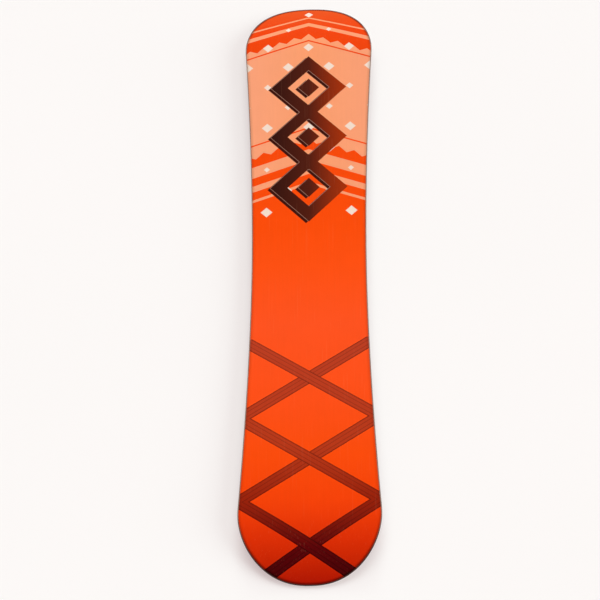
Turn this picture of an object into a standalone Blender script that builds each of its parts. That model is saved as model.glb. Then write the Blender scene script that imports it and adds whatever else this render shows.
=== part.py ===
"""A twin-tip snowboard without bindings, lying base up on its nose and tail.

Metres, +Z up. The length runs along Y with the nose at +Y, and the width along X. The origin is on the
ground under the middle of the board. The board is a laminate and each layer is its own solid. From the
running surface, which is on top, down to the deck, which faces the ground: base sheet inside two steel
edges, rubber strips over the edges' teeth, lower glass, wood core between sidewalls and tip spacers, upper
glass and topsheet. The threaded inserts for the binding screws stand in the core and open on the deck.

A place is given first as on a flat board, by its inset from the outline and its depth under the running
surface. Then bent() carries it onto the real board, with its camber and its curved tips.
"""

import math

import bmesh
import bpy
from mathutils import Matrix, Vector

# Outline, seen from above
LENGTH = 1.500
WAIST_WIDTH = 0.250
TIP_WIDTH = 0.293
EFFECTIVE_EDGE = 1.200
SIDECUT_POWER = 1.81
TIP_POWER_ALONG = 1.94
TIP_POWER_ACROSS = 2.28

# Side view
TIP_RISE = 0.031
CAMBER = 0.005
BINDING_ZONE = (0.17, 0.35)

# Layers, and the gap left for the glue between each two of them
GLUE = 0.0003
BASE_THICKNESS = 0.0012
EDGE_SECTION = 0.0020
TOOTH_THICKNESS = 0.0005
TOOTH_LENGTH = 0.0050
RUBBER_THICKNESS = 0.0004
GLASS_THICKNESS = 0.0007
TOPSHEET_THICKNESS = 0.0006
CORE_THICKNESS = 0.0068
CORE_TIP_THICKNESS = 0.0022
CORE_TAPER = (0.37, 0.64)

# Teeth of the edges
TOOTH_PITCH = 0.012
NOTCH_WIDTH = 0.006
TOOTH_ROOT = 0.0006

# Core
CORE_HALF_LENGTH = 0.620
STRINGER_WIDTH = 0.020
STRINGERS_EACH_SIDE = 5
SIDEWALL_WIDTH = 0.0090
SIDEWALL_SLANT = 0.27
RIM_INSET = 0.0005

# Inserts: two columns of five under each foot
STANCE = 0.520
COLUMN_SPACING = 0.040
ROW_SPACING = 0.040
ROWS = 5
FLANGE_RADIUS = 0.0085
FLANGE_THICKNESS = 0.0012
BARREL_RADIUS = 0.0043
THREAD_RADIUS = 0.0025
THREAD_DEPTH = 0.0052
DECK_HOLE_RADIUS = 0.0040

# How finely curves are cut into straight stretches
MIDDLE_STEPS = 3
FOOT_STEPS = 3
OUTER_STEPS = 3
TIP_STEPS = 14
TIP_FLAT = 0.010
ROUND_STEPS = 12
STATION_CLEARANCE = 0.006
CUTTER_MARGIN = 0.001

# Lengths that follow from the ones above
HALF_LENGTH = LENGTH / 2
WIDEST_Y = EFFECTIVE_EDGE / 2
TIP_LENGTH = HALF_LENGTH - WIDEST_Y
TIP_RADIUS = (TIP_LENGTH**2 + TIP_RISE**2) / (2 * TIP_RISE)

# Depths and insets that follow from the layers
TOOTH_DEPTH = EDGE_SECTION - TOOTH_THICKNESS
TOOTH_INSET = EDGE_SECTION + TOOTH_LENGTH
RUBBER_DEPTH = EDGE_SECTION + GLUE
LOWER_GLASS_DEPTH = BASE_THICKNESS + GLUE
LOWER_GLASS_RIM_DEPTH = RUBBER_DEPTH + RUBBER_THICKNESS + GLUE
GLASS_STEP_INSET = TOOTH_INSET + 2 * GLUE
CORE_DEPTH = LOWER_GLASS_DEPTH + GLASS_THICKNESS + GLUE
RIM_DEPTH = LOWER_GLASS_RIM_DEPTH + GLASS_THICKNESS + GLUE

# Colour, metallic and roughness
MATERIALS = {
    "base_plastic": ((0.92, 0.09, 0.01), 0.0, 0.42),
    "edge_steel": ((0.16, 0.13, 0.12), 0.9, 0.42),
    "rubber": ((0.02, 0.02, 0.02), 0.0, 0.75),
    "glass_laminate": ((0.62, 0.66, 0.52), 0.0, 0.35),
    "core_wood": ((0.66, 0.47, 0.27), 0.0, 0.65),
    "sidewall_plastic": ((0.018, 0.018, 0.020), 0.0, 0.50),
    "topsheet_plastic": ((0.040, 0.018, 0.018), 0.0, 0.38),
    "insert_steel": ((0.62, 0.60, 0.56), 1.0, 0.35),
}


def half_width(y):
    """Half the board's width at y: a sidecut between the widest lines, a superellipse on each tip."""
    past_widest = abs(y) - WIDEST_Y
    if past_widest <= 0:
        share = abs(y) / WIDEST_Y
        return (WAIST_WIDTH + (TIP_WIDTH - WAIST_WIDTH) * share**SIDECUT_POWER) / 2
    share = min(past_widest / TIP_LENGTH, 1.0)
    return TIP_WIDTH / 2 * (1 - share**TIP_POWER_ALONG) ** (1 / TIP_POWER_ACROSS)


def base_height(y):
    """Height of the running surface over its contact lines: an arch between them, an arc down each tip."""
    start, end = BINDING_ZONE
    past_contact = abs(y) - WIDEST_Y
    if past_contact > 0:
        return math.sqrt(TIP_RADIUS**2 - past_contact**2) - TIP_RADIUS
    if start < abs(y) < end:
        share = (abs(y) - start) / (end - start)
        return base_height(start) * (1 - share) + base_height(end) * share
    return -CAMBER * math.cos(math.pi * y / EFFECTIVE_EDGE) ** 2


def slope(curve, y):
    step = 1e-6
    return (curve(y + step) - curve(y - step)) / (2 * step)


def core_end_depth(y):
    """Depth of the core's deck side: even under the feet, and rising towards the tips."""
    start, end = CORE_TAPER
    share = min(max((abs(y) - start) / (end - start), 0.0), 1.0)
    eased = share * share * (3 - 2 * share)
    return CORE_DEPTH + CORE_THICKNESS + (CORE_TIP_THICKNESS - CORE_THICKNESS) * eased


def upper_glass_depth(y):
    return core_end_depth(y) + GLUE


def upper_glass_end_depth(y):
    return upper_glass_depth(y) + GLASS_THICKNESS


def topsheet_depth(y):
    return upper_glass_end_depth(y) + GLUE


def deck_depth(y):
    return topsheet_depth(y) + TOPSHEET_THICKNESS


def rim_inset(depth):
    """How far the board's slanted side lies inside the outline at a depth."""
    return RIM_INSET + SIDEWALL_SLANT * max(depth - RIM_DEPTH, 0.0)


def surface_axes(y):
    """Unit vectors along the running surface and square to it."""
    along = Vector((0, 1, slope(base_height, y))).normalized()
    return along, Vector((0, -along.z, along.y))


def bent(x, y, depth, lift):
    """The real place of one on the flat board. The lift is that of the contact lines over the ground."""
    _, up = surface_axes(y)
    return Vector((x, y, base_height(y) + lift)) - up * depth


class Station:
    """A line across the board, for drawing sections. Insets run against the normal of its right end."""

    def __init__(self, y, x, normal):
        self.y = y
        self.x = x
        self.normal = normal

    def inside(self, inset):
        return self.x - inset * self.normal[0], self.y - inset * self.normal[1]

    def place(self, side, inset, depth, lift):
        """A section's corner. The depth may be a curve over y, and the inset one over the depth."""
        if callable(inset):
            inset = inset(depth(self.y) if callable(depth) else depth)
        x, y = self.inside(inset)
        return bent(side * x, y, depth(y) if callable(depth) else depth, lift)


def outline_station(y):
    """A station on the outline, with insets square to the outline."""
    steepness = slope(half_width, y)
    length = math.hypot(1, steepness)
    return Station(y, half_width(y), (1 / length, -steepness / length))


def cut_station(y):
    """A station where a piece is cut off square."""
    return Station(y, half_width(y), (1, 0))


def seam_station(end):
    """A station at the very end of a tip, where the left and the right pieces nearly meet."""
    return Station(end * HALF_LENGTH, GLUE / 2, (0, end))


def spread(start, end, steps):
    return [start + (end - start) * step / steps for step in range(1, steps + 1)]


def half_ys():
    """Where the outline is cut, from a level stretch in the middle to a tip's short flat end."""
    foot_start, foot_end = BINDING_ZONE
    half_step = foot_start / (2 * MIDDLE_STEPS - 1)
    middle = [half_step] + spread(half_step, foot_start, MIDDLE_STEPS - 1)
    foot = spread(foot_start, foot_end, FOOT_STEPS)
    outer = spread(foot_end, WIDEST_Y, OUTER_STEPS)
    last_angle = math.acos((2 * TIP_FLAT / TIP_WIDTH) ** (TIP_POWER_ACROSS / 2))
    tip = [
        WIDEST_Y + TIP_LENGTH * math.sin(angle) ** (2 / TIP_POWER_ALONG)
        for angle in spread(0, last_angle, TIP_STEPS)
    ]
    return middle + foot + outer + tip


def all_stations():
    ys = half_ys()
    return [outline_station(y) for y in [-y for y in reversed(ys)] + ys]


def edge_stations():
    """All stations, with one more at each tip's end that takes a half piece to the middle line."""
    return [seam_station(-1)] + all_stations() + [seam_station(1)]


def stations_between(start, end):
    """Stations from one square cut to another, without those that lie too close to the cuts."""
    first, last = start + STATION_CLEARANCE, end - STATION_CLEARANCE
    inner = [station for station in all_stations() if first < station.y < last]
    return [cut_station(start)] + inner + [cut_station(end)]


def tip_stations(end):
    """Stations from the core's end to the end of one tip."""
    start = CORE_HALF_LENGTH + GLUE
    ys = [y for y in half_ys() if y > start + STATION_CLEARANCE]
    return [cut_station(end * start)] + [outline_station(end * y) for y in ys]


def contact_lift():
    """How high the contact lines are when the deck's corners at the tips' ends touch the ground."""
    last = all_stations()[-1]
    return -last.place(1, rim_inset, deck_depth, 0.0).z


def make_material(name):
    colour, metallic, roughness = MATERIALS[name]
    material = bpy.data.materials.new(name)
    material.use_nodes = True
    shader = material.node_tree.nodes["Principled BSDF"]
    shader.inputs["Base Color"].default_value = (*colour, 1.0)
    shader.inputs["Metallic"].default_value = metallic
    shader.inputs["Roughness"].default_value = roughness
    material.diffuse_color = (*colour, 1.0)
    return material


def add_object(name, bm, collection, material=None):
    mesh = bpy.data.meshes.new(name)
    bm.to_mesh(mesh)
    bm.free()
    if material is not None:
        mesh.materials.append(material)
    piece = bpy.data.objects.new(name, mesh)
    collection.objects.link(piece)
    return piece


def skin(rings):
    """A tube through cross-sections with the same number of corners, and its rows of corners."""
    bm = bmesh.new()
    rows = [[bm.verts.new(corner) for corner in ring] for ring in rings]
    for near, far in zip(rows, rows[1:]):
        for index in range(len(near)):
            bm.faces.new((near[index - 1], near[index], far[index], far[index - 1]))
    return bm, rows


def loft(rings):
    """A closed solid through cross-sections, with one face at each end."""
    bm, rows = skin(rings)
    bm.faces.new(rows[0])
    bm.faces.new(rows[-1])
    bmesh.ops.recalc_face_normals(bm, faces=bm.faces)
    return bm


def across(stations, profile, lift):
    """A solid from rim to rim. The profile is its right half, from the running side round the rim."""
    rings = []
    for station in stations:
        right = [station.place(1, inset, depth, lift) for inset, depth in profile]
        left = [station.place(-1, inset, depth, lift) for inset, depth in reversed(profile)]
        rings.append(right + left)
    bm, rows = skin(rings)
    close_end(bm, stations[0], rows[0])
    close_end(bm, stations[-1], rows[-1])
    bmesh.ops.recalc_face_normals(bm, faces=bm.faces)
    return bm


def close_end(bm, station, row):
    """One face where the piece is cut off square. At a tip's end the rim goes on from right to left."""
    if station.normal[1] == 0:
        bm.faces.new(row)
        return
    for index in range(len(row) // 2 - 1):
        bm.faces.new((row[index], row[index + 1], row[-index - 2], row[-index - 1]))


def along_side(stations, side, profile, lift):
    """A solid that follows the outline on one side."""
    return loft([[station.place(side, *corner, lift) for corner in profile] for station in stations])


def frame_at(x, y, depth, lift, along, up):
    """A matrix at a place of the board, with Y along it and Z out of the running surface."""
    across_it = along.cross(up)
    return Matrix.Translation(bent(x, y, depth, lift)) @ Matrix((across_it, along, up)).transposed().to_4x4()


def insert_places():
    """Where the inserts stand: the foot they are under, their column and their row."""
    for foot, foot_y in (("front", STANCE / 2), ("rear", -STANCE / 2)):
        for column, x in (("left", -COLUMN_SPACING / 2), ("right", COLUMN_SPACING / 2)):
            for row in range(ROWS):
                yield f"{foot}_insert_{column}_{row + 1}", x, foot_y + (row - (ROWS - 1) / 2) * ROW_SPACING


def insert_cutter(name, radius, start, end, cutters, lift):
    """Cylinders on all insert axes, between two depths."""
    bm = bmesh.new()
    for _, x, y in insert_places():
        along, up = surface_axes(y)
        bmesh.ops.create_cone(
            bm,
            cap_ends=True,
            segments=ROUND_STEPS,
            radius1=radius,
            radius2=radius,
            depth=end - start,
            matrix=frame_at(x, y, (start + end) / 2, lift, along, up),
        )
    return add_cutter(name, bm, cutters)


def notch_cutter(name, side, cutters, lift):
    """Boxes along one edge that cut its flange into teeth."""
    bm = bmesh.new()
    box_length = TOOTH_INSET - EDGE_SECTION
    inset = EDGE_SECTION + TOOTH_ROOT + box_length / 2
    for y in tooth_ys():
        station = outline_station(y)
        x, inset_y = station.inside(inset)
        run = math.atan2(-station.normal[1], station.normal[0])
        along, up = surface_axes(inset_y)
        turn = Matrix.Rotation(-side * run, 4, "Z")
        size = Matrix.Diagonal((box_length, NOTCH_WIDTH, 3 * TOOTH_THICKNESS, 1))
        depth = TOOTH_DEPTH + TOOTH_THICKNESS / 2
        bmesh.ops.create_cube(
            bm, size=1.0, matrix=frame_at(side * x, inset_y, depth, lift, along, up) @ turn @ size
        )
    return add_cutter(name, bm, cutters)


def tooth_ys():
    """Where the notches between the teeth are, evenly spaced along the outline from end to end."""
    ys = []
    travelled = 0.0
    previous = all_stations()[0]
    for station in all_stations()[1:]:
        stretch = math.hypot(station.x - previous.x, station.y - previous.y)
        while travelled + stretch > TOOTH_PITCH * (len(ys) + 1):
            share = (TOOTH_PITCH * (len(ys) + 1) - travelled) / stretch
            ys.append(previous.y + (station.y - previous.y) * share)
        travelled += stretch
        previous = station
    return ys


def add_cutter(name, bm, cutters):
    cutter = add_object(name, bm, cutters)
    cutter.display_type = "WIRE"
    cutter.hide_render = True
    return cutter


def cut(piece, cutter):
    boolean = piece.modifiers.new(cutter.name, "BOOLEAN")
    boolean.operation = "DIFFERENCE"
    boolean.solver = "EXACT"
    boolean.object = cutter


def build_base(parts, lift):
    profile = [(EDGE_SECTION + GLUE, 0.0), (EDGE_SECTION + GLUE, BASE_THICKNESS)]
    add_object("base_sheet", across(all_stations(), profile, lift), parts, make_material("base_plastic"))


def build_edges(parts, cutters, lift):
    """Steel edges with an L section, whose inner leg is cut into teeth."""
    steel = make_material("edge_steel")
    profile = [
        (0.0, 0.0),
        (EDGE_SECTION, 0.0),
        (EDGE_SECTION, TOOTH_DEPTH),
        (TOOTH_INSET, TOOTH_DEPTH),
        (TOOTH_INSET, EDGE_SECTION),
        (0.0, EDGE_SECTION),
    ]
    for name, side in (("left", -1), ("right", 1)):
        solid = along_side(edge_stations(), side, profile, lift)
        edge = add_object(f"{name}_steel_edge", solid, parts, steel)
        cut(edge, notch_cutter(f"{name}_edge_notches", side, cutters, lift))


def build_rubber(parts, lift):
    rubber = make_material("rubber")
    profile = [
        (RIM_INSET, RUBBER_DEPTH),
        (TOOTH_INSET, RUBBER_DEPTH),
        (TOOTH_INSET, RUBBER_DEPTH + RUBBER_THICKNESS),
        (RIM_INSET, RUBBER_DEPTH + RUBBER_THICKNESS),
    ]
    for name, side in (("left", -1), ("right", 1)):
        add_object(f"{name}_rubber_strip", along_side(edge_stations(), side, profile, lift), parts, rubber)


def build_lower_glass(parts, glass, lift):
    """It lies on the base sheet and steps down over the rubber strips near the rim."""
    profile = [
        (SIDEWALL_WIDTH, LOWER_GLASS_DEPTH),
        (GLASS_STEP_INSET, LOWER_GLASS_RIM_DEPTH),
        (RIM_INSET, LOWER_GLASS_RIM_DEPTH),
        (RIM_INSET, LOWER_GLASS_RIM_DEPTH + GLASS_THICKNESS),
        (GLASS_STEP_INSET, LOWER_GLASS_RIM_DEPTH + GLASS_THICKNESS),
        (SIDEWALL_WIDTH, LOWER_GLASS_DEPTH + GLASS_THICKNESS),
    ]
    add_object("lower_glass_laminate", across(all_stations(), profile, lift), parts, glass)


def build_core(parts, hole_cutters, lift):
    """Wood stringers side by side. The outermost ones follow the sidewalls."""
    wood = make_material("core_wood")
    stations = stations_between(-CORE_HALF_LENGTH, CORE_HALF_LENGTH)
    for number in range(-STRINGERS_EACH_SIDE, STRINGERS_EACH_SIDE + 1):
        side = -1 if number < 0 else 1
        far = (abs(number) + 0.5) * STRINGER_WIDTH - GLUE / 2
        near = (abs(number) - 0.5) * STRINGER_WIDTH + GLUE / 2
        outermost = abs(number) == STRINGERS_EACH_SIDE
        rings = []
        for station in stations:
            far_x, far_y = station.inside(SIDEWALL_WIDTH + GLUE) if outermost else (far, station.y)
            rings.append(
                [
                    bent(side * near, station.y, CORE_DEPTH, lift),
                    bent(side * far_x, far_y, CORE_DEPTH, lift),
                    bent(side * far_x, far_y, core_end_depth(far_y), lift),
                    bent(side * near, station.y, core_end_depth(station.y), lift),
                ]
            )
        name = f"core_stringer_{number + STRINGERS_EACH_SIDE + 1:02d}"
        stringer = add_object(name, loft(rings), parts, wood)
        if near < COLUMN_SPACING / 2 < far:
            for cutter in hole_cutters:
                cut(stringer, cutter)


def build_sidewalls(parts, plastic, lift):
    profile = [
        (RIM_INSET, RIM_DEPTH),
        (SIDEWALL_WIDTH, RIM_DEPTH),
        (SIDEWALL_WIDTH, core_end_depth),
        (rim_inset, core_end_depth),
    ]
    stations = stations_between(-CORE_HALF_LENGTH, CORE_HALF_LENGTH)
    for name, side in (("left", -1), ("right", 1)):
        add_object(f"{name}_sidewall", along_side(stations, side, profile, lift), parts, plastic)


def build_tip_spacers(parts, plastic, lift):
    """They fill the tips past the core, and step down over the lower glass like the sidewalls."""
    profile = [
        (SIDEWALL_WIDTH + GLUE, CORE_DEPTH),
        (SIDEWALL_WIDTH + GLUE, RIM_DEPTH),
        (RIM_INSET, RIM_DEPTH),
        (rim_inset, core_end_depth),
    ]
    for name, end in (("nose", 1), ("tail", -1)):
        add_object(f"{name}_spacer", across(tip_stations(end), profile, lift), parts, plastic)


def build_upper_glass(parts, glass, deck_holes, lift):
    profile = [(rim_inset, upper_glass_depth), (rim_inset, upper_glass_end_depth)]
    laminate = add_object("upper_glass_laminate", across(all_stations(), profile, lift), parts, glass)
    cut(laminate, deck_holes)


def build_topsheet(parts, deck_holes, lift):
    profile = [(rim_inset, topsheet_depth), (rim_inset, deck_depth)]
    solid = across(all_stations(), profile, lift)
    topsheet = add_object("topsheet", solid, parts, make_material("topsheet_plastic"))
    cut(topsheet, deck_holes)


def build_inserts(parts, lift):
    """Turned T-nuts: a flange on the core's running side and a barrel with a blind bore open to the deck."""
    steel = make_material("insert_steel")
    barrel_end = CORE_THICKNESS
    profile = [
        (0.0, 0.0),
        (FLANGE_RADIUS, 0.0),
        (FLANGE_RADIUS, FLANGE_THICKNESS),
        (BARREL_RADIUS, FLANGE_THICKNESS),
        (BARREL_RADIUS, barrel_end),
        (THREAD_RADIUS, barrel_end),
        (THREAD_RADIUS, barrel_end - THREAD_DEPTH),
        (0.0, barrel_end - THREAD_DEPTH),
    ]
    for name, x, y in insert_places():
        bm = bmesh.new()
        corners = [bm.verts.new((radius, 0, -depth)) for radius, depth in profile]
        for pair in zip(corners, corners[1:]):
            bm.edges.new(pair)
        insert = add_object(name, bm, parts, steel)
        along, up = surface_axes(y)
        insert.matrix_world = frame_at(x, y, CORE_DEPTH, lift, along, up)
        screw = insert.modifiers.new("Turn", "SCREW")
        screw.steps = ROUND_STEPS
        screw.render_steps = ROUND_STEPS
        screw.use_merge_vertices = True
        screw.merge_threshold = 0.00001


def clear_scene():
    for old in list(bpy.data.objects):
        bpy.data.objects.remove(old, do_unlink=True)


def new_collection(name):
    collection = bpy.data.collections.new(name)
    bpy.context.scene.collection.children.link(collection)
    return collection


def build_snowboard():
    clear_scene()
    parts = new_collection("snowboard")
    cutters = new_collection("cutters")
    lift = contact_lift()
    glass = make_material("glass_laminate")
    plastic = make_material("sidewall_plastic")

    before_core = CORE_DEPTH - CUTTER_MARGIN
    recess_end = CORE_DEPTH + FLANGE_THICKNESS + GLUE
    core_end = CORE_DEPTH + CORE_THICKNESS
    past_deck = deck_depth(0) + CUTTER_MARGIN
    recesses = insert_cutter("flange_recesses", FLANGE_RADIUS + GLUE, before_core, recess_end, cutters, lift)
    barrel_holes = insert_cutter("barrel_holes", BARREL_RADIUS + GLUE, before_core, past_deck, cutters, lift)
    deck_holes = insert_cutter("deck_holes", DECK_HOLE_RADIUS, core_end, past_deck, cutters, lift)

    build_base(parts, lift)
    build_edges(parts, cutters, lift)
    build_rubber(parts, lift)
    build_lower_glass(parts, glass, lift)
    build_core(parts, (recesses, barrel_holes), lift)
    build_sidewalls(parts, plastic, lift)
    build_tip_spacers(parts, plastic, lift)
    build_inserts(parts, lift)
    build_upper_glass(parts, glass, deck_holes, lift)
    build_topsheet(parts, deck_holes, lift)


build_snowboard()
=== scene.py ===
"""The looks of a twin-tip snowboard lying base up: smooth layers, steel edges, printed base, light, camera.

Metres, +Z up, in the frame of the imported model: the length along Y with the nose at +Y, the width along X.
Each layer that shows is modelled again here with smooth curves, and closed up to its neighbours but for a
hairline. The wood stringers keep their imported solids.
"""

import math

import bmesh
import bpy
import numpy as np
from mathutils import Matrix, Vector


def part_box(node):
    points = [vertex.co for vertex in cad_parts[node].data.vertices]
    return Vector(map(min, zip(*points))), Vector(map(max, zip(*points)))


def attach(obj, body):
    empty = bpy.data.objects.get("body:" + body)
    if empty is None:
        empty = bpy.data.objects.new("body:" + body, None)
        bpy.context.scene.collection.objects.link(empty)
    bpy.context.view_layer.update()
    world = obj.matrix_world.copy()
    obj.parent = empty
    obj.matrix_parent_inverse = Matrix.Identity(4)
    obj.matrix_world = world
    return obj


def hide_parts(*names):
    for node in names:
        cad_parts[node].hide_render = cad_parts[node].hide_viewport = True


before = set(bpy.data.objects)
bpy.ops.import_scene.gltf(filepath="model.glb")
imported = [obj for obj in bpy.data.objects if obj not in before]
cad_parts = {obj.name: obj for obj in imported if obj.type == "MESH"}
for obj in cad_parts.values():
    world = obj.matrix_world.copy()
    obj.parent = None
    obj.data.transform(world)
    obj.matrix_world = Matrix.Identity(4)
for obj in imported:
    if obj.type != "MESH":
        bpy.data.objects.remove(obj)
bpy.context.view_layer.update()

# Outline and side view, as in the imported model
LENGTH = 1.500
WAIST_WIDTH = 0.250
TIP_WIDTH = 0.293
EFFECTIVE_EDGE = 1.200
SIDECUT_POWER = 1.81
TIP_POWER_ALONG = 1.94
TIP_POWER_ACROSS = 2.28
TIP_RISE = 0.031
CAMBER = 0.005
BINDING_ZONE = (0.17, 0.35)
TIP_FLAT = 0.010
HALF_LENGTH = LENGTH / 2
WIDEST_Y = EFFECTIVE_EDGE / 2
TIP_LENGTH = HALF_LENGTH - WIDEST_Y
TIP_RADIUS = (TIP_LENGTH**2 + TIP_RISE**2) / (2 * TIP_RISE)
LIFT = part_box("left_steel_edge")[1].z
WIDEST_ROUNDING = 0.012

# Depths under the running surface at which one layer ends and the next one starts
SEAM = 0.00003
BASE_END = 0.00135
EDGE_END = 0.00215
RUBBER_END = 0.00285
RIM_GLASS_END = 0.00385
INNER_GLASS_END = 0.00235
TOOTH_START = 0.0015
TOOTH_END = 0.0020
CORE_START = 0.0025
CORE_THICKNESS = 0.0068
CORE_TIP_THICKNESS = 0.0022
CORE_TAPER = (0.37, 0.64)

# Layers on the deck side, counted from the core
CORE_GAP = 0.00015
UPPER_GLASS_END = 0.00115
DECK = 0.0019

# Insets from the outline
EDGE_WIDTH = 0.00215
TOOTH_ROOT_INSET = EDGE_WIDTH + 0.0004
TOOTH_INSET = 0.0070
GLASS_STEP_INSET = 0.0076
SIDEWALL_WIDTH = 0.0090
SIDEWALL_SLANT = 0.27
SLANT_START = 0.0040
RIM_INSET = 0.0005
CORE_SEAM_Y = 0.62015
TOOTH_PITCH = 0.010
TOOTH_RAMP = 0.0006

# Inserts
STANCE = 0.520
COLUMN_SPACING = 0.040
ROW_SPACING = 0.040
ROWS = 5
DECK_HOLE_RADIUS = 0.0040
COUNTERSINK = 0.0005
FLANGE_RADIUS = 0.0085
FLANGE_THICKNESS = 0.0012
BARREL_RADIUS = 0.0043
THREAD_RADIUS = 0.0025
THREAD_HEIGHT = 0.0005
THREAD_PITCH = 0.0010
THREAD_DEPTH = 0.0052

# Camera, fitted to the board's outline in the photograph
IMAGE_SIZE = 600
FOCAL_PIXELS = 2150
SENSOR_WIDTH = 36.0
CAMERA_TILT = math.radians(33.03)
CAMERA_YAW = math.radians(-2.33)
CAMERA_ROLL = math.radians(0.02)
CAMERA_DISTANCE = 4.611
CAMERA_AIM = (0.1680, -0.0905)

# Smoothness
SIDECUT_STEPS = 94
TIP_STEPS = 56
ROUND_STEPS = 48
ROUND_PHASE = 0.37
ROUNDING_SAMPLES = 25
CUT_CLEARANCE = 0.004
SHARP_ANGLE = math.radians(35)
BEVEL_ANGLE = math.radians(40)

# Print: colours are linear, and the slant is that of the roof-like bands on both faces
CREAM = (0.90, 0.68, 0.585)
MAROON = (0.033, 0.005, 0.0025)
BROWN = (0.080, 0.010, 0.0035)
RUST = (0.35, 0.027, 0.0015)
SHADE = (0.040, 0.005, 0.002)
MARK_RIM = (0.50, 0.24, 0.18)
MARK_SHADOW_SHIFT = (-0.0065, -0.0045)
ROOF_SLANT = 0.38

# Floor. Its glow is the share of its look that no shadow darkens
FLOOR_SIZE = 60
FLOOR_TINTS = ((0.93, 0.97, 0.96), (0.97, 1.0, 1.0))
FLOOR_GLOW = 0.53
GLOW_COLOUR = (1.0, 0.864, 0.860)

# Light. Each lamp has a name, a direction, an energy and the angle that it spans in the sky, in degrees
SURROUND_LIGHT = (1.0, 0.68, 0.67)
SURROUND_STRENGTH = 0.233
SURROUND_LOOK = (0.985, 0.955, 0.947)
LAMP_COLOUR = (0.86, 1.0, 0.97)
LAMPS = (
    ("nose_softbox", (0.0, -0.78, -1.0), 1.97, 50),
    ("right_softbox", (-2.1, 0.5, -1.0), 2.23, 50),
    ("low_nose_lamp", (0.0, -2.75, -1.0), 0.97, 16),
)


def raw_half_width(y):
    past_widest = abs(y) - WIDEST_Y
    if past_widest <= 0:
        share = abs(y) / WIDEST_Y
        return (WAIST_WIDTH + (TIP_WIDTH - WAIST_WIDTH) * share**SIDECUT_POWER) / 2
    share = min(past_widest / TIP_LENGTH, 1.0)
    return TIP_WIDTH / 2 * (1 - share**TIP_POWER_ALONG) ** (1 / TIP_POWER_ACROSS)


def half_width(y):
    """Half the board's width at y, rounded where the sidecut meets the tip's curve."""
    if abs(abs(y) - WIDEST_Y) > WIDEST_ROUNDING:
        return raw_half_width(y)
    samples = np.linspace(y - WIDEST_ROUNDING, y + WIDEST_ROUNDING, ROUNDING_SAMPLES)
    return float(np.mean([raw_half_width(sample) for sample in samples]))


def base_height(y):
    """Height of the running surface over its contact lines: an arch between them, an arc down each tip."""
    start, end = BINDING_ZONE
    past_contact = abs(y) - WIDEST_Y
    if past_contact > 0:
        return math.sqrt(TIP_RADIUS**2 - past_contact**2) - TIP_RADIUS
    if start < abs(y) < end:
        share = (abs(y) - start) / (end - start)
        return base_height(start) * (1 - share) + base_height(end) * share
    return -CAMBER * math.cos(math.pi * y / EFFECTIVE_EDGE) ** 2


def slope(curve, y):
    step = 1e-6
    return (curve(y + step) - curve(y - step)) / (2 * step)


def core_end(y):
    """Depth of the core's deck side: even under the feet, and rising towards the tips."""
    start, end = CORE_TAPER
    share = min(max((abs(y) - start) / (end - start), 0.0), 1.0)
    eased = share * share * (3 - 2 * share)
    return CORE_START + CORE_THICKNESS + (CORE_TIP_THICKNESS - CORE_THICKNESS) * eased


def past_core(extra):
    """A depth that lies that far past the core's deck side, as a curve over y."""
    return lambda y: core_end(y) + extra


def rim_inset(depth):
    """How far the board's slanted side lies inside the outline at a depth."""
    return RIM_INSET + SIDEWALL_SLANT * max(depth - SLANT_START, 0.0)


def surface_axes(y):
    """Unit vectors along the running surface and square to it."""
    along = Vector((0, 1, slope(base_height, y))).normalized()
    return along, Vector((0, -along.z, along.y))


def bent(x, y, depth):
    """The real place of one that is given as on a flat board."""
    _, up = surface_axes(y)
    return Vector((x, y, base_height(y) + LIFT)) - up * depth


class Station:
    """A line across the board to draw sections on. Insets run against the normal at its right end."""

    def __init__(self, y, x, normal):
        self.y = y
        self.x = x
        self.normal = normal

    def place(self, side, inset, depth):
        """A section's corner. The depth may be a curve over y, and the inset one over the depth."""
        if callable(inset):
            inset = inset(depth(self.y) if callable(depth) else depth)
        x = self.x - inset * self.normal[0]
        y = self.y - inset * self.normal[1]
        return bent(side * x, y, depth(y) if callable(depth) else depth)


def outline_station(y):
    """A station on the outline, with insets square to the outline."""
    steepness = slope(half_width, y)
    length = math.hypot(1, steepness)
    return Station(y, half_width(y), (1 / length, -steepness / length))


def cut_station(y):
    """A station where a piece is cut off square."""
    return Station(y, half_width(y), (1, 0))


def seam_station(end):
    """A station at the very end of a tip, where the left and the right pieces nearly meet."""
    return Station(end * HALF_LENGTH, SEAM, (0, end))


def outline_ys():
    """Where the outline is cut, from the tail's short flat end to the nose's."""
    sidecut = np.linspace(-WIDEST_Y, WIDEST_Y, SIDECUT_STEPS + 1)
    last_angle = math.acos((2 * TIP_FLAT / TIP_WIDTH) ** (TIP_POWER_ACROSS / 2))
    angles = np.linspace(0, last_angle, TIP_STEPS + 1)[1:]
    tip = WIDEST_Y + TIP_LENGTH * np.sin(angles) ** (2 / TIP_POWER_ALONG)
    return [float(y) for y in np.concatenate([-tip[::-1], sidecut, tip])]


def whole_board():
    return [outline_station(y) for y in outline_ys()]


def half_board():
    """All stations, with one more at each tip's end that takes a half piece to the middle line."""
    return [seam_station(-1)] + whole_board() + [seam_station(1)]


def stations_between(start, end):
    """Stations from one square cut to another."""
    inner = [outline_station(y) for y in outline_ys() if start + CUT_CLEARANCE < y < end - CUT_CLEARANCE]
    return [cut_station(start)] + inner + [cut_station(end)]


def tip_stations(end):
    """Stations from the core's end to the end of one tip."""
    start = CORE_SEAM_Y + SEAM
    ys = [y for y in outline_ys() if y > start + CUT_CLEARANCE]
    return [cut_station(end * start)] + [outline_station(end * y) for y in ys]


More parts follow.
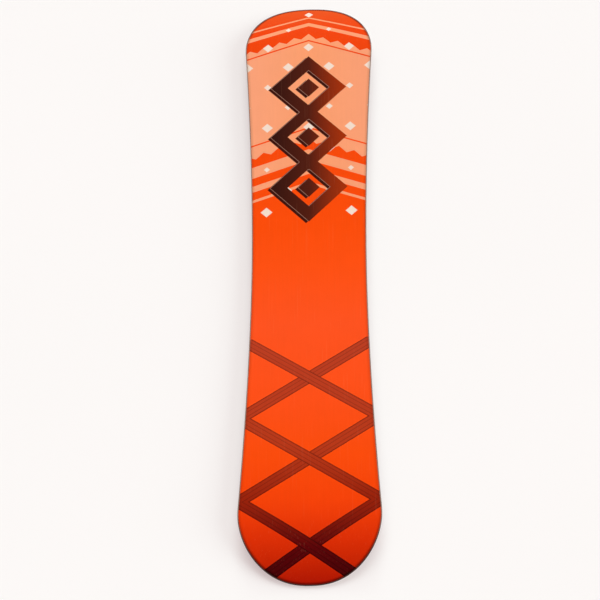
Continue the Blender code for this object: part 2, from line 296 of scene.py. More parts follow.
def add_skin(bm, rings):
    """A tube through cross-sections with the same number of corners. Returns its rows of corners."""
    rows = [[bm.verts.new(corner) for corner in ring] for ring in rings]
    for near, far in zip(rows, rows[1:]):
        for index in range(len(near)):
            bm.faces.new((near[index - 1], near[index], far[index], far[index - 1]))
    return rows


def add_loft(bm, rings):
    """A closed solid through cross-sections, with one face at each end."""
    rows = add_skin(bm, rings)
    bm.faces.new(rows[0])
    bm.faces.new(rows[-1])
    bmesh.ops.recalc_face_normals(bm, faces=bm.faces)


def loft(rings):
    bm = bmesh.new()
    add_loft(bm, rings)
    return bm


def across(stations, profile):
    """A solid from rim to rim. The profile is its right half, from the running side round the rim."""
    rings = []
    for station in stations:
        right = [station.place(1, inset, depth) for inset, depth in profile]
        left = [station.place(-1, inset, depth) for inset, depth in reversed(profile)]
        rings.append(right + left)
    bm = bmesh.new()
    rows = add_skin(bm, rings)
    close_end(bm, stations[0], rows[0])
    close_end(bm, stations[-1], rows[-1])
    bmesh.ops.recalc_face_normals(bm, faces=bm.faces)
    return bm


def close_end(bm, station, row):
    """One face where the piece is cut off square. At a tip's end the rim goes on from right to left."""
    if station.normal[1] == 0:
        bm.faces.new(row)
        return
    for index in range(len(row) // 2 - 1):
        bm.faces.new((row[index], row[index + 1], row[-index - 2], row[-index - 1]))


def along_side(stations, side, profile):
    """A solid that follows the outline on one side."""
    return loft([[station.place(side, *corner) for corner in profile] for station in stations])


def add_piece(name, bm, material, nodes=(), bevel=0.0):
    """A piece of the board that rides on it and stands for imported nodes."""
    mesh = bpy.data.meshes.new(name)
    bm.to_mesh(mesh)
    bm.free()
    mesh.materials.append(material)
    piece = bpy.data.objects.new(name, mesh)
    bpy.context.scene.collection.objects.link(piece)
    if bevel:
        add_bevel(piece, bevel)
    finish_piece(piece, nodes)
    return piece


def add_bevel(piece, width):
    bevel = piece.modifiers.new("Bevel", "BEVEL")
    bevel.width = width
    bevel.segments = 2
    bevel.limit_method = "ANGLE"
    bevel.angle_limit = BEVEL_ANGLE
    bevel.harden_normals = True


def shade(mesh):
    """Smooth shading but for edges where faces meet at a steep angle."""
    mesh.shade_smooth()
    mesh.set_sharp_from_angle(angle=SHARP_ANGLE)


def finish_piece(piece, nodes):
    shade(piece.data)
    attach(piece, "root")
    if nodes:
        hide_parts(*nodes)


def turned_rings(profile, place=Matrix()):
    """Rings of corners for (radius, depth) pairs. A radius may be a list with one for each corner."""
    rings = []
    for radius, depth in profile:
        radii = radius if isinstance(radius, list) else [radius] * ROUND_STEPS
        ring = []
        for step, reach in enumerate(radii):
            angle = 2 * math.pi * (step + ROUND_PHASE) / ROUND_STEPS
            ring.append(place @ Vector((reach * math.cos(angle), reach * math.sin(angle), -depth)))
        rings.append(ring)
    return rings


def cut_holes(piece, profile):
    """Cuts round holes on all insert axes and applies the cut to the mesh."""
    bm = bmesh.new()
    for _, x, y in insert_places():
        add_loft(bm, turned_rings(profile, frame_at(x, y, 0.0)))
    mesh = bpy.data.meshes.new("holes")
    bm.to_mesh(mesh)
    bm.free()
    cutter = bpy.data.objects.new("holes", mesh)
    bpy.context.scene.collection.objects.link(cutter)
    boolean = piece.modifiers.new("Holes", "BOOLEAN")
    boolean.operation = "DIFFERENCE"
    boolean.object = cutter
    graph = bpy.context.evaluated_depsgraph_get()
    cut_mesh = bpy.data.meshes.new_from_object(piece.evaluated_get(graph))
    piece.modifiers.remove(boolean)
    piece.data = cut_mesh
    bpy.data.objects.remove(cutter)


def frame_at(x, y, depth):
    """A matrix at a place of the board, with Y along it and Z out of the running surface."""
    along, up = surface_axes(y)
    turn = Matrix((along.cross(up), along, up)).transposed().to_4x4()
    return Matrix.Translation(bent(x, y, depth)) @ turn


def insert_places():
    """Where the inserts stand: their node, and the place of their axis on the flat board."""
    for foot, foot_y in (("front", STANCE / 2), ("rear", -STANCE / 2)):
        for column, x in (("left", -COLUMN_SPACING / 2), ("right", COLUMN_SPACING / 2)):
            for row in range(ROWS):
                yield f"{foot}_insert_{column}_{row + 1}", x, foot_y + (row - (ROWS - 1) / 2) * ROW_SPACING


def connect(tree, value, socket):
    """Sets a shader input to a number or a colour, or links it to a field or a socket."""
    if isinstance(value, Field):
        value = value.socket
    if isinstance(value, bpy.types.NodeSocket):
        tree.links.new(value, socket)
    elif socket.type == "RGBA" and len(value) == 3:
        socket.default_value = (*value, 1.0)
    else:
        socket.default_value = value


class Field:
    """A number that varies over a surface. Arithmetic with it adds Math nodes."""

    def __init__(self, tree, socket):
        self.tree = tree
        self.socket = socket

    def math(self, operation, *values):
        node = self.tree.nodes.new("ShaderNodeMath")
        node.operation = operation
        for socket, value in zip(node.inputs, values):
            connect(self.tree, value, socket)
        return Field(self.tree, node.outputs[0])

    def __add__(self, other):
        return self.math("ADD", self, other)

    def __sub__(self, other):
        return self.math("SUBTRACT", self, other)

    def __rsub__(self, other):
        return self.math("SUBTRACT", other, self)

    def __mul__(self, other):
        return self.math("MULTIPLY", self, other)

    def __truediv__(self, other):
        return self.math("DIVIDE", self, other)

    def __neg__(self):
        return self.math("MULTIPLY", self, -1.0)

    def __abs__(self):
        return self.math("ABSOLUTE", self)

    def least(self, other):
        return self.math("MINIMUM", self, other)

    def most(self, other):
        return self.math("MAXIMUM", self, other)

    def clamped(self):
        node = self.tree.nodes.new("ShaderNodeClamp")
        connect(self.tree, self, node.inputs["Value"])
        return Field(self.tree, node.outputs[0])

    def power(self, exponent):
        return self.math("POWER", self, exponent)

    def bounce(self, top):
        """Up from 0 to top and down again, over and over."""
        return self.math("PINGPONG", self, top)

    def steps(self):
        return self.math("FLOOR", self)

    def sine(self):
        return self.math("SINE", self)

    def inside(self, blur=0.0006):
        """1 where a distance is negative, 0 where it is positive, and soft in between."""
        return (0.5 - self / blur).clamped()


class Surface:
    """A new material, and the place of each point of its surface in metres."""

    def __init__(self, name):
        self.material = bpy.data.materials.new(name)
        self.material.use_nodes = True
        self.tree = self.material.node_tree
        self.shader = self.tree.nodes["Principled BSDF"]
        self.place = self.tree.nodes.new("ShaderNodeTexCoord").outputs["Object"]
        parts = self.tree.nodes.new("ShaderNodeSeparateXYZ")
        self.tree.links.new(self.place, parts.inputs[0])
        self.x, self.y, self.z = (Field(self.tree, socket) for socket in parts.outputs)

    def noise(self, size, detail=2.0, stretch=(1, 1, 1), roughness=0.5):
        """Cloudy noise from 0 to 1 with spots of that size, longer along an axis where stretch is over 1."""
        mapping = self.tree.nodes.new("ShaderNodeMapping")
        self.tree.links.new(self.place, mapping.inputs["Vector"])
        mapping.inputs["Scale"].default_value = [1 / (size * factor) for factor in stretch]
        node = self.tree.nodes.new("ShaderNodeTexNoise")
        self.tree.links.new(mapping.outputs[0], node.inputs["Vector"])
        node.inputs["Scale"].default_value = 1.0
        node.inputs["Detail"].default_value = detail
        node.inputs["Roughness"].default_value = roughness
        return Field(self.tree, node.outputs[0])

    def mix(self, factor, first, second):
        """The first colour where the factor is 0 and the second one where it is 1."""
        node = self.tree.nodes.new("ShaderNodeMix")
        node.data_type = "RGBA"
        connect(self.tree, factor, node.inputs[0])
        connect(self.tree, first, node.inputs[6])
        connect(self.tree, second, node.inputs[7])
        return node.outputs[2]

    def tint(self, colour, factor):
        """A colour made lighter or darker by a factor."""
        node = self.tree.nodes.new("ShaderNodeVectorMath")
        node.operation = "SCALE"
        connect(self.tree, colour, node.inputs[0])
        connect(self.tree, factor, node.inputs["Scale"])
        return node.outputs[0]

    def ramp(self, field, stops):
        """A colour that runs through (number from 0 to 1, colour) stops."""
        node = self.tree.nodes.new("ShaderNodeValToRGB")
        elements = node.color_ramp.elements
        while len(elements) < len(stops):
            elements.new(0.5)
        for element, (position, colour) in zip(elements, stops):
            element.position = position
            element.color = (*colour, 1.0)
        connect(self.tree, field, node.inputs[0])
        return node.outputs[0]

    def bump(self, height, depth):
        """Relief from a height of 0 to 1 times a real depth."""
        node = self.tree.nodes.new("ShaderNodeBump")
        node.inputs["Strength"].default_value = 1.0
        node.inputs["Distance"].default_value = depth
        connect(self.tree, height, node.inputs["Height"])
        connect(self.tree, node.outputs[0], self.shader.inputs["Normal"])

    def set(self, **values):
        """Sets shader inputs by their names in lower case."""
        for socket in self.shader.inputs:
            key = socket.name.lower().replace(" ", "_")
            if key in values:
                connect(self.tree, values[key], socket)


def lozenge(x, y, half_x, half_y):
    """Distance from an upright lozenge's outline, negative inside it."""
    scale = half_x * half_y / math.hypot(half_x, half_y)
    return (abs(x) / half_x + abs(y) / half_y - 1.0) * scale


def stripe(field, centre, width):
    return abs(field - centre) - width / 2


def ground_print_and_tail_shade(surface):
    """The orange print, redder towards the tail and darker there: partly print, partly painted shade where
    the tail bends away from the light.
    """
    along = (surface.y / LENGTH + 0.5).clamped()
    # The darkest stops at the tail's end hold painted shade as well as print
    stops = [
        (0.00, (0.50, 0.008, 0.001)),
        (0.03, (0.65, 0.020, 0.001)),
        (0.06, (0.76, 0.028, 0.001)),
        (0.12, (0.91, 0.051, 0.001)),
        (0.19, (0.95, 0.066, 0.002)),
        (0.27, (0.97, 0.072, 0.007)),
        (0.40, (0.98, 0.079, 0.012)),
        (0.50, (0.98, 0.074, 0.004)),
        (0.57, (0.96, 0.068, 0.001)),
        (0.80, (0.90, 0.058, 0.001)),
        (0.94, (0.85, 0.052, 0.001)),
        (1.00, (0.76, 0.078, 0.008)),
    ]
    return surface.ramp(along, stops)


def rim_distance(surface):
    """How far a point lies inside the outline: across the board on the sides, square to it round the tips."""
    x, y = abs(surface.x), abs(surface.y)
    widening = (y / WIDEST_Y).power(SIDECUT_POWER) * ((TIP_WIDTH - WAIST_WIDTH) / 2)
    side = widening + WAIST_WIDTH / 2 - x
    along = ((y - WIDEST_Y) / TIP_LENGTH).clamped()
    sideways = x / (TIP_WIDTH / 2)
    fill = 1.0 - along.power(TIP_POWER_ALONG) - sideways.power(TIP_POWER_ACROSS)
    rise_along = along.power(TIP_POWER_ALONG - 1) * (TIP_POWER_ALONG / TIP_LENGTH)
    rise_sideways = sideways.power(TIP_POWER_ACROSS - 1) * (TIP_POWER_ACROSS / (TIP_WIDTH / 2))
    tip = fill / (rise_along * rise_along + rise_sideways * rise_sideways).power(0.5)
    past_widest = (WIDEST_Y - y).inside()
    return side * (1.0 - past_widest) + tip * past_widest


def rim_painted_shade(surface):
    """Painted shade on the print next to the edge, strongest round the tips."""
    reach = 0.0095
    softness = 0.0055
    strength_on_sides = 0.22
    more_at_tips = 0.45
    # Painted shade: how far in from the edge the darkening reaches, and how softly it fades
    near_rim = ((reach - rim_distance(surface)) / softness).clamped()
    strength = ((abs(surface.y) - WIDEST_Y) / 0.10).clamped() * more_at_tips + strength_on_sides
    return 1.0 - near_rim * near_rim * strength


def peach_bands(surface):
    """Pale bands like roof tiles in the nose third, with a sawtooth rim on the widest one."""
    tooth_width = 0.017
    tooth_steepness = 0.7
    roof = surface.y + abs(surface.x) * ROOF_SLANT
    teeth = surface.x.bounce(tooth_width) * tooth_steepness
    bands = stripe(roof + teeth, centre=0.50, width=0.305).inside()
    for centre, width in ((0.686, 0.012), (0.712, 0.005), (0.300, 0.030), (0.255, 0.016), (0.222, 0.007)):
        bands = bands.most(stripe(roof, centre, width).inside())
    for centre in (0.375, 0.630):
        bands = bands.least(1.0 - stripe(roof, centre, width=0.004).inside())
    return bands


def cream_diamonds(surface):
    """Small pale diamonds in staggered rows towards the nose, of another size in each row."""
    row_pitch = 0.058
    column_pitch = 0.094
    least_half = 0.0050
    spread = 0.0080
    first_row = 2
    row = (surface.y / row_pitch).steps()
    odd = row.bounce(1.0)
    in_row = surface.y - (row + 0.5) * row_pitch
    in_column = (surface.x + odd * (column_pitch / 2)).bounce(column_pitch / 2)
    half = abs((row * 2.3).sine()) * spread + least_half
    distance = abs(in_column) + abs(in_row) - half
    shown = (first_row - 0.5 - row).inside(blur=0.1)
    return distance.inside(blur=0.0018) * shown


def dark_links(surface, shift_x=0.0, shift_y=0.0):
    """Distance from a chain of three linked lozenge rings with solid hearts."""
    ring_size = (0.086, 0.092)
    half_band = 0.014
    heart_size = (0.024, 0.026)
    x = surface.x - shift_x
    y = surface.y - shift_y
    distance = None
    for centre in (0.490, 0.350, 0.210):
        outer = lozenge(x, y - centre, *ring_size)
        ring = abs(outer + half_band) - half_band
        heart = lozenge(x, y - centre, *heart_size)
        link = ring.least(heart)
        distance = link if distance is None else distance.least(link)
    return distance


def ribbon(surface, centre, slant, colour, line, ground):
    """A band across the board with dark rims and two thin lines along it."""
    half_band = 0.0133
    reach = abs(surface.x - centre) * slant
    for place, width in ((0.0045, 0.0010), (0.0123, 0.0024)):
        colour = surface.mix(stripe(reach, place, width).inside(), colour, line)
    return surface.mix((reach - half_band).inside(), ground, colour)


def tail_lattice(surface, ground):
    """Two crossing zigzag ribbons towards the tail, each over the other in turn, with painted shade at the
    tail's end.
    """
    start = -0.185
    run = 0.195
    reach = 0.145
    line_shade = 0.48
    slant = math.cos(math.atan(2 * reach / run))
    travel = (start - surface.y) / run
    swing = (1.0 - travel.bounce(1.0) * 2.0) * reach
    along = (surface.y / LENGTH + 0.5).clamped()
    # Ribbon colour, darkest at the tail's end: print with painted shade where the tail bends away from the
    # light
    band = surface.ramp(
        along,
        [
            (0.00, (0.055, 0.001, 0.002)),
            (0.05, (0.110, 0.001, 0.002)),
            (0.12, (0.310, 0.014, 0.002)),
            (0.20, (0.460, 0.036, 0.008)),
            (0.40, (0.490, 0.045, 0.015)),
        ],
    )
    line = surface.tint(band, line_shade)
    first = ribbon(surface, swing, slant, band, line, ground)
    first = ribbon(surface, -swing, slant, band, line, first)
    second = ribbon(surface, -swing, slant, band, line, ground)
    second = ribbon(surface, swing, slant, band, line, second)
    turn = travel.steps().bounce(1.0)
    both = surface.mix(turn, first, second)
    shown = (surface.y - start).inside(blur=0.0008)
    return surface.mix(shown, ground, both)


def base_print(surface):
    # The ground carries painted shade at the tail's end
    colour = tail_lattice(surface, ground_print_and_tail_shade(surface))
    peach = surface.ramp(
        (surface.x / TIP_WIDTH + 0.5).clamped(),
        [(0.0, (0.95, 0.34, 0.185)), (0.5, (0.95, 0.32, 0.148)), (1.0, (0.95, 0.33, 0.175))],
    )
    colour = surface.mix(peach_bands(surface), colour, peach)
    colour = surface.mix(cream_diamonds(surface), colour, CREAM)
    mark = dark_links(surface)
    shadow = dark_links(surface, *MARK_SHADOW_SHIFT)
    colour = surface.mix(shadow.inside(blur=0.0012), colour, SHADE)
    across_mark = (surface.x / 0.17 + 0.5).clamped()
    gradient = surface.ramp(across_mark, [(0.05, MAROON), (0.5, BROWN), (0.95, RUST)])
    colour = surface.mix(mark.inside(), colour, gradient)
    rim = stripe(mark, centre=0.0004, width=0.0010).inside() * shadow.inside()
    return surface.mix(rim * 0.75, colour, MARK_RIM)


def base_material():
    """Ground polyethylene with the print under it: fine grinding marks, faint scratches and painted shade
    along the rims.
    """
    surface = Surface("base_plastic")
    grind = surface.noise(0.00035, detail=3.0, stretch=(1, 90, 1))
    streaks = surface.noise(0.004, detail=3.0, stretch=(1, 40, 1))
    clouds = surface.noise(0.05, detail=4.0)
    scratches = surface.noise(0.0012, detail=1.0, stretch=(1, 160, 1), roughness=0.3)
    scratch = ((scratches - 0.70) * 14.0).clamped()
    shade = streaks * 0.05 + clouds * 0.06 + 0.945
    # The print is darkened by random mottling and by painted shade along the rim
    colour = surface.tint(base_print(surface), shade * rim_painted_shade(surface))
    colour = surface.mix(scratch * 0.07, colour, (0.98, 0.42, 0.24))
    surface.set(
        base_color=colour,
        roughness=streaks * 0.12 + scratch * 0.15 + 0.45,
        specular_ior_level=0.012,
    )
    surface.bump(grind * 0.7 + streaks * 0.3 + scratch * -0.6, depth=0.00003)
    return surface.material


def steel_material():
    """Ground edge steel with file marks along it, browned and rusty in spots, with painted shade round the
    tips.
    """
    surface = Surface("edge_steel")
    marks = surface.noise(0.0002, detail=3.0, stretch=(1, 60, 1))
    dull = surface.noise(0.02, detail=5.0)
    rust = ((surface.noise(0.006, detail=6.0, roughness=0.7) - 0.60) * 7.0).clamped()
    tip_painted_shade = ((abs(surface.y) - WIDEST_Y) / 0.08).clamped()
    colour = surface.mix(dull, (0.086, 0.045, 0.034), (0.158, 0.095, 0.074))
    # Painted shade: the steel is darkened round the tips
    colour = surface.mix(tip_painted_shade * 0.85, colour, (0.026, 0.010, 0.008))
    colour = surface.mix(rust * 0.6, colour, (0.09, 0.026, 0.011))
    surface.set(
        base_color=colour,
        metallic=0.75,
        roughness=marks * 0.2 + rust * 0.3 + 0.36,
    )
    surface.bump(marks + rust * 0.5, depth=0.00002)
    return surface.material


def rubber_material():
    surface = Surface("rubber")
    grain = surface.noise(0.0004, detail=4.0)
    surface.set(base_color=surface.mix(grain, (0.010, 0.010, 0.010), (0.030, 0.028, 0.026)), roughness=0.78)
    surface.bump(grain, depth=0.00003)
    return surface.material


def glass_material():
    """Glass cloth in resin: two crossing weaves under a clear skin."""
    surface = Surface("glass_laminate")
    turned = math.radians(45)
    pitch = 0.0024
    ways = []
    for sign in (-1, 1):
        across_it = surface.x * math.cos(turned) + surface.y * (sign * math.sin(turned))
        ways.append(((across_it / pitch) * (2 * math.pi)).sine())
    weave = (ways[0] * ways[1]) * 0.5 + 0.5
    resin = surface.noise(0.03, detail=4.0)
    colour = surface.mix(weave, (0.26, 0.28, 0.17), (0.40, 0.42, 0.29))
    colour = surface.mix(resin * 0.35, colour, (0.36, 0.31, 0.15))
    surface.set(base_color=colour, roughness=resin * 0.2 + 0.25, coat_weight=0.4, coat_roughness=0.15)
    surface.bump(weave, depth=0.00006)
    return surface.material


def wood_material(name, pale, dark, shift):
    """Sanded wood with its grain along the board. The shift moves its rings sideways."""
    ring_width = 0.0022
    surface = Surface(name)
    wander = surface.noise(0.05, detail=2.0, stretch=(1, 6, 1))
    over_rings = surface.x + surface.z * 0.6 + wander * 0.012 + shift
    rings = (over_rings / ring_width * (2 * math.pi)).sine() * 0.5 + 0.5
    pores = surface.noise(0.0005, detail=3.0, stretch=(1, 40, 1))
    colour = surface.mix(rings * 0.55 + pores * 0.35, pale, dark)
    surface.set(base_color=colour, roughness=pores * 0.2 + 0.55)
    surface.bump(pores + rings * 0.4, depth=0.00005)
    return surface.material


def sidewall_material():
    """Black plastic, planed along the board."""
    surface = Surface("sidewall_plastic")
    planed = surface.noise(0.0003, detail=3.0, stretch=(1, 120, 1))
    scuffs = ((surface.noise(0.004, detail=5.0, stretch=(1, 4, 1), roughness=0.7) - 0.58) * 6.0).clamped()
    colour = surface.mix(planed * 0.6, (0.010, 0.010, 0.011), (0.026, 0.026, 0.028))
    colour = surface.mix(scuffs * 0.35, colour, (0.070, 0.066, 0.062))
    surface.set(base_color=colour, roughness=planed * 0.15 + scuffs * 0.15 + 0.42)
    surface.bump(planed + scuffs * -0.4, depth=0.00004)
    return surface.material


def topsheet_material():
    """Dark satin sheet with tone-on-tone roofs and a few orange lines, printed from below."""
    surface = Surface("topsheet_plastic")
    band_width = 0.09
    bands_start = 0.38
    roof = abs(surface.y) - abs(surface.x) * ROOF_SLANT
    broad = ((roof / band_width).bounce(1.0) - 0.5).inside(blur=0.008)
    outer = (bands_start - abs(surface.y)).inside(blur=0.02)
    grain = surface.noise(0.0003, detail=2.0)
    clouds = surface.noise(0.08, detail=3.0)
    colour = surface.mix(clouds * 0.4, (0.030, 0.010, 0.010), (0.050, 0.018, 0.015))
    colour = surface.mix(broad * outer * 0.8, colour, (0.075, 0.022, 0.018))
    lines = None
    for centre, width in ((0.60, 0.010), (0.582, 0.004), (0.571, 0.002)):
        line = stripe(roof, centre, width).inside()
        lines = line if lines is None else lines.most(line)
    colour = surface.mix(lines, colour, (0.85, 0.10, 0.012))
    surface.set(base_color=colour, roughness=grain * 0.15 + 0.32, coat_weight=0.25, coat_roughness=0.25)
    surface.bump(grain, depth=0.00003)
    return surface.material


def insert_material():
    """Turned and zinc-plated steel."""
    surface = Surface("insert_steel")
    turned = surface.noise(0.0003, detail=3.0, stretch=(1, 1, 0.4))
    stain = surface.noise(0.004, detail=4.0)
    colour = surface.mix(stain, (0.50, 0.49, 0.46), (0.72, 0.71, 0.68))
    surface.set(base_color=colour, metallic=1.0, roughness=turned * 0.2 + 0.22)
    surface.bump(turned, depth=0.00002)
    return surface.material


def seen_directly(tree):
    """1 for the camera and for reflections and glass, 0 for soft light."""
    path = tree.nodes.new("ShaderNodeLightPath").outputs
    return Field(tree, path["Is Camera Ray"]).most(path["Is Glossy Ray"]).most(path["Is Transmission Ray"])


def floor_material():
    """Pale paper. The camera and reflections also see its own faint pink glow, which lifts the shadows."""
    surface = Surface("studio_floor")
    clouds = surface.noise(0.8, detail=2.0)
    colour = surface.mix(clouds, *FLOOR_TINTS)
    surface.set(base_color=colour, roughness=0.9, specular_ior_level=0.0)
    glow = surface.tree.nodes.new("ShaderNodeEmission")
    connect(surface.tree, GLOW_COLOUR, glow.inputs["Color"])
    mix = surface.tree.nodes.new("ShaderNodeMixShader")
    connect(surface.tree, seen_directly(surface.tree) * FLOOR_GLOW, mix.inputs[0])
    surface.tree.links.new(surface.shader.outputs[0], mix.inputs[1])
    surface.tree.links.new(glow.outputs[0], mix.inputs[2])
    surface.tree.links.new(mix.outputs[0], surface.tree.nodes["Material Output"].inputs["Surface"])
    return surface.material


def build_base():
    inset = EDGE_WIDTH + SEAM
    profile = [(inset, 0.0), (inset, BASE_END - SEAM)]
    solid = across(whole_board(), profile)
    add_piece("smooth_base_sheet", solid, base_material(), ["base_sheet"], bevel=0.00008)


def tooth_stations():
    """Stations for the edges, with the inset that the toothed flange has at each of them."""
    fine = whole_board()
    lengths = [0.0]
    for near, far in zip(fine, fine[1:]):
        lengths.append(lengths[-1] + math.hypot(far.x - near.x, far.y - near.y))
    ys = [station.y for station in fine]
    stations = []
    start = TOOTH_PITCH / 2
    while start < lengths[-1] - TOOTH_PITCH:
        for ahead, inset in (
            (0.0, TOOTH_ROOT_INSET),
            (TOOTH_RAMP, TOOTH_INSET),
            (TOOTH_PITCH / 2, TOOTH_INSET),
            (TOOTH_PITCH / 2 + TOOTH_RAMP, TOOTH_ROOT_INSET),
        ):
            y = float(np.interp(start + ahead, lengths, ys))
            stations.append((outline_station(y), inset))
        start += TOOTH_PITCH
    tail = [(seam_station(-1), TOOTH_ROOT_INSET), (fine[0], TOOTH_ROOT_INSET)]
    nose = [(fine[-1], TOOTH_ROOT_INSET), (seam_station(1), TOOTH_ROOT_INSET)]
    return tail + stations + nose


def build_edges():
    """Steel edges with an L section, whose inner leg is cut into teeth."""
    steel = steel_material()
    block_end = EDGE_WIDTH - SEAM
    for name, side in (("left", -1), ("right", 1)):
        rings = []
        for station, flange in tooth_stations():
            profile = [
                (0.0, 0.0),
                (block_end, 0.0),
                (block_end, TOOTH_START),
                (flange, TOOTH_START),
                (flange, TOOTH_END),
                (block_end, TOOTH_END),
                (block_end, EDGE_END - SEAM),
                (0.0, EDGE_END - SEAM),
            ]
            rings.append([station.place(side, *corner) for corner in profile])
        edge = f"{name}_steel_edge"
        add_piece(f"toothed_{edge}", loft(rings), steel, [edge], bevel=0.0001)


def build_rubber():
    rubber = rubber_material()
    top = EDGE_END + SEAM
    bottom = RUBBER_END - SEAM
    profile = [(RIM_INSET, top), (TOOTH_INSET, top), (TOOTH_INSET, bottom), (RIM_INSET, bottom)]
    for name, side in (("left", -1), ("right", 1)):
        strip = f"{name}_rubber_strip"
        add_piece(f"smooth_{strip}", along_side(half_board(), side, profile), rubber, [strip])


def build_lower_glass(glass):
    """It lies on the base sheet and steps down over the rubber strips near the rim."""
    profile = [
        (SIDEWALL_WIDTH, BASE_END + SEAM),
        (GLASS_STEP_INSET, RUBBER_END + SEAM),
        (RIM_INSET, RUBBER_END + SEAM),
        (RIM_INSET, RIM_GLASS_END - SEAM),
        (GLASS_STEP_INSET, RIM_GLASS_END - SEAM),
        (SIDEWALL_WIDTH, INNER_GLASS_END - SEAM),
    ]
    solid = across(whole_board(), profile)
    add_piece("smooth_lower_glass", solid, glass, ["lower_glass_laminate"])


def build_sides():
    """Sidewalls along the core and spacers that fill the tips past it."""
    plastic = sidewall_material()
    core_side = past_core(CORE_GAP - SEAM)
    wall = [
        (RIM_INSET, RIM_GLASS_END + SEAM),
        (SIDEWALL_WIDTH, RIM_GLASS_END + SEAM),
        (SIDEWALL_WIDTH, core_side),
        (rim_inset, core_side),
    ]
    end = CORE_SEAM_Y - SEAM
    for name, side in (("left", -1), ("right", 1)):
        node = f"{name}_sidewall"
        solid = along_side(stations_between(-end, end), side, wall)
        add_piece(f"smooth_{node}", solid, plastic, [node], bevel=0.0001)
    spacer = [
        (SIDEWALL_WIDTH, INNER_GLASS_END + SEAM),
        (SIDEWALL_WIDTH, RIM_GLASS_END + SEAM),
        (RIM_INSET, RIM_GLASS_END + SEAM),
        (rim_inset, core_side),
    ]
    for name, end in (("nose", 1), ("tail", -1)):
        node = f"{name}_spacer"
        solid = across(tip_stations(end), spacer)
        add_piece(f"smooth_{node}", solid, plastic, [node], bevel=0.0001)


def build_deck(glass):
    """The upper glass and the topsheet, with the holes over the inserts."""
    core_side = CORE_START + CORE_THICKNESS
    deck = core_side + DECK
    hole = [
        (DECK_HOLE_RADIUS, core_side),
        (DECK_HOLE_RADIUS, deck - COUNTERSINK),
        (DECK_HOLE_RADIUS + 2 * COUNTERSINK, deck + COUNTERSINK),
    ]
    inner = ("smooth_upper_glass", "upper_glass_laminate", "glass_laminate", glass)
    outer = ("smooth_topsheet", "topsheet", "topsheet_plastic", topsheet_material())
    spans = ((inner, CORE_GAP, UPPER_GLASS_END - SEAM), (outer, UPPER_GLASS_END, DECK))
    for (name, node, slot, material), start, end in spans:
        profile = [(rim_inset, past_core(start + SEAM)), (rim_inset, past_core(end))]
        layer = add_piece(name, across(whole_board(), profile), material, [node])
        cut_holes(layer, hole)
        shade(layer.data)


def insert_mesh():
    """A T-nut with a real thread in its blind bore. Its origin is on its flange, and the bore opens at -Z."""
    chamfer = 0.0002
    barrel_end = CORE_THICKNESS
    outer = [
        (FLANGE_RADIUS - chamfer, 0.0),
        (FLANGE_RADIUS, chamfer),
        (FLANGE_RADIUS, FLANGE_THICKNESS - chamfer),
        (FLANGE_RADIUS - chamfer, FLANGE_THICKNESS),
        (BARREL_RADIUS + chamfer, FLANGE_THICKNESS),
        (BARREL_RADIUS, FLANGE_THICKNESS + chamfer),
        (BARREL_RADIUS, barrel_end - chamfer),
        (BARREL_RADIUS - chamfer, barrel_end),
        (THREAD_RADIUS + 1.3 * THREAD_HEIGHT, barrel_end),
    ]
    rings_per_turn = 10
    flared_rings = 6
    turns = THREAD_DEPTH / THREAD_PITCH
    count = int(turns * rings_per_turn)
    bore = []
    for ring in range(1, count):
        depth = barrel_end - THREAD_DEPTH * ring / count
        flare = max(1.0 - ring / flared_rings, 0.0) * 0.6
        radii = []
        for step in range(ROUND_STEPS):
            turn = (barrel_end - depth) / THREAD_PITCH + step / ROUND_STEPS
            wave = abs(2 * (turn % 1.0) - 1)
            radii.append(THREAD_RADIUS + THREAD_HEIGHT * max(wave, flare))
        bore.append((radii, depth))
    bore.append((THREAD_RADIUS, barrel_end - THREAD_DEPTH))
    bm = loft(turned_rings(outer + bore))
    mesh = bpy.data.meshes.new("threaded_insert")
    bm.to_mesh(mesh)
    bm.free()
    return mesh


def build_inserts():
    mesh = insert_mesh()
    mesh.materials.append(insert_material())
    for node, x, y in insert_places():
        piece = bpy.data.objects.new(f"threaded_{node}", mesh)
        bpy.context.scene.collection.objects.link(piece)
        piece.matrix_world = frame_at(x, y, CORE_START)
        finish_piece(piece, [node])


def dress_core():
    """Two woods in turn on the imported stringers."""
    woods = (
        wood_material("core_poplar", (0.72, 0.55, 0.34), (0.50, 0.33, 0.17), 0.0),
        wood_material("core_beech", (0.60, 0.40, 0.24), (0.40, 0.23, 0.12), 0.31),
    )
    for name, node in sorted(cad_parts.items()):
        if name.startswith("core_stringer"):
            wood = woods[int(name[-2:]) % 2]
            for material_slot in node.material_slots:
                material_slot.material = wood


def add_floor():
    bpy.ops.mesh.primitive_plane_add(size=FLOOR_SIZE)
    floor = bpy.context.object
    floor.name = "studio_floor"
    floor.data.materials.append(floor_material())


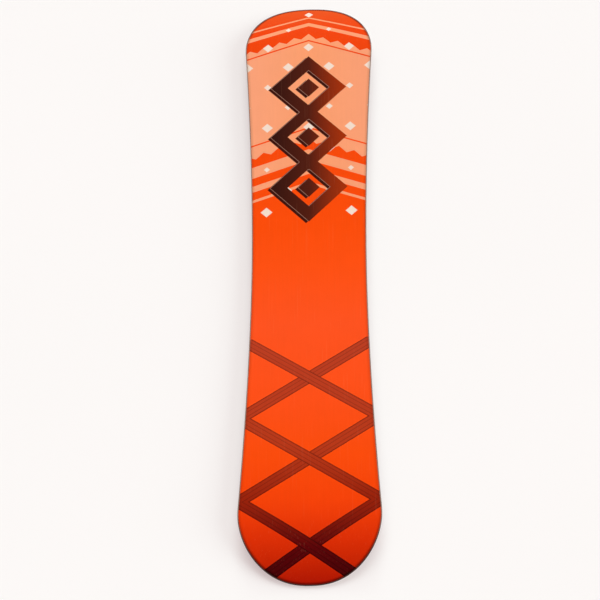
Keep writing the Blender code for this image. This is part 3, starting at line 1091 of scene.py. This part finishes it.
def add_light():
    """A surround that looks white and lights softly in pink, two lamps past the nose and one on the right."""
    world = bpy.data.worlds.new("studio")
    bpy.context.scene.world = world
    world.use_nodes = True
    tree = world.node_tree
    surround = tree.nodes["Background"]
    connect(tree, SURROUND_LIGHT, surround.inputs["Color"])
    surround.inputs["Strength"].default_value = SURROUND_STRENGTH
    white = tree.nodes.new("ShaderNodeBackground")
    connect(tree, SURROUND_LOOK, white.inputs["Color"])
    mix = tree.nodes.new("ShaderNodeMixShader")
    connect(tree, seen_directly(tree), mix.inputs[0])
    tree.links.new(surround.outputs[0], mix.inputs[1])
    tree.links.new(white.outputs[0], mix.inputs[2])
    tree.links.new(mix.outputs[0], tree.nodes["World Output"].inputs["Surface"])
    for lamp in LAMPS:
        add_lamp(*lamp)


def add_lamp(name, direction, energy, angle):
    """A far lamp, whose shadows are softer the wider its angle is."""
    lamp = bpy.data.lights.new(name, "SUN")
    lamp.angle = math.radians(angle)
    lamp.energy = energy
    lamp.color = LAMP_COLOUR
    holder = bpy.data.objects.new(name, lamp)
    bpy.context.scene.collection.objects.link(holder)
    holder.rotation_euler = Vector(direction).to_track_quat("-Z", "Y").to_euler()


def add_camera():
    data = bpy.data.cameras.new("camera")
    data.sensor_width = SENSOR_WIDTH
    data.lens = FOCAL_PIXELS / IMAGE_SIZE * SENSOR_WIDTH
    camera = bpy.data.objects.new("camera", data)
    bpy.context.scene.collection.objects.link(camera)
    bpy.context.scene.camera = camera
    down, level = math.cos(CAMERA_TILT), math.sin(CAMERA_TILT)
    aside, ahead = math.sin(CAMERA_YAW), math.cos(CAMERA_YAW)
    forward = Vector((aside, level * ahead, -down * ahead)).normalized()
    right = forward.cross(Vector((0, 1, 0))).normalized()
    turn = Matrix((right, right.cross(forward), -forward)).transposed().to_4x4()
    place = Vector((CAMERA_AIM[0], CAMERA_AIM[1] - CAMERA_DISTANCE * level, CAMERA_DISTANCE * down + LIFT))
    camera.matrix_world = Matrix.Translation(place) @ turn @ Matrix.Rotation(CAMERA_ROLL, 4, "Z")


def build_scene():
    glass = glass_material()
    build_base()
    build_edges()
    build_rubber()
    build_lower_glass(glass)
    dress_core()
    build_sides()
    build_deck(glass)
    build_inserts()
    add_floor()
    add_light()
    add_camera()
    bpy.context.scene.view_settings.view_transform = "Standard"


build_scene()
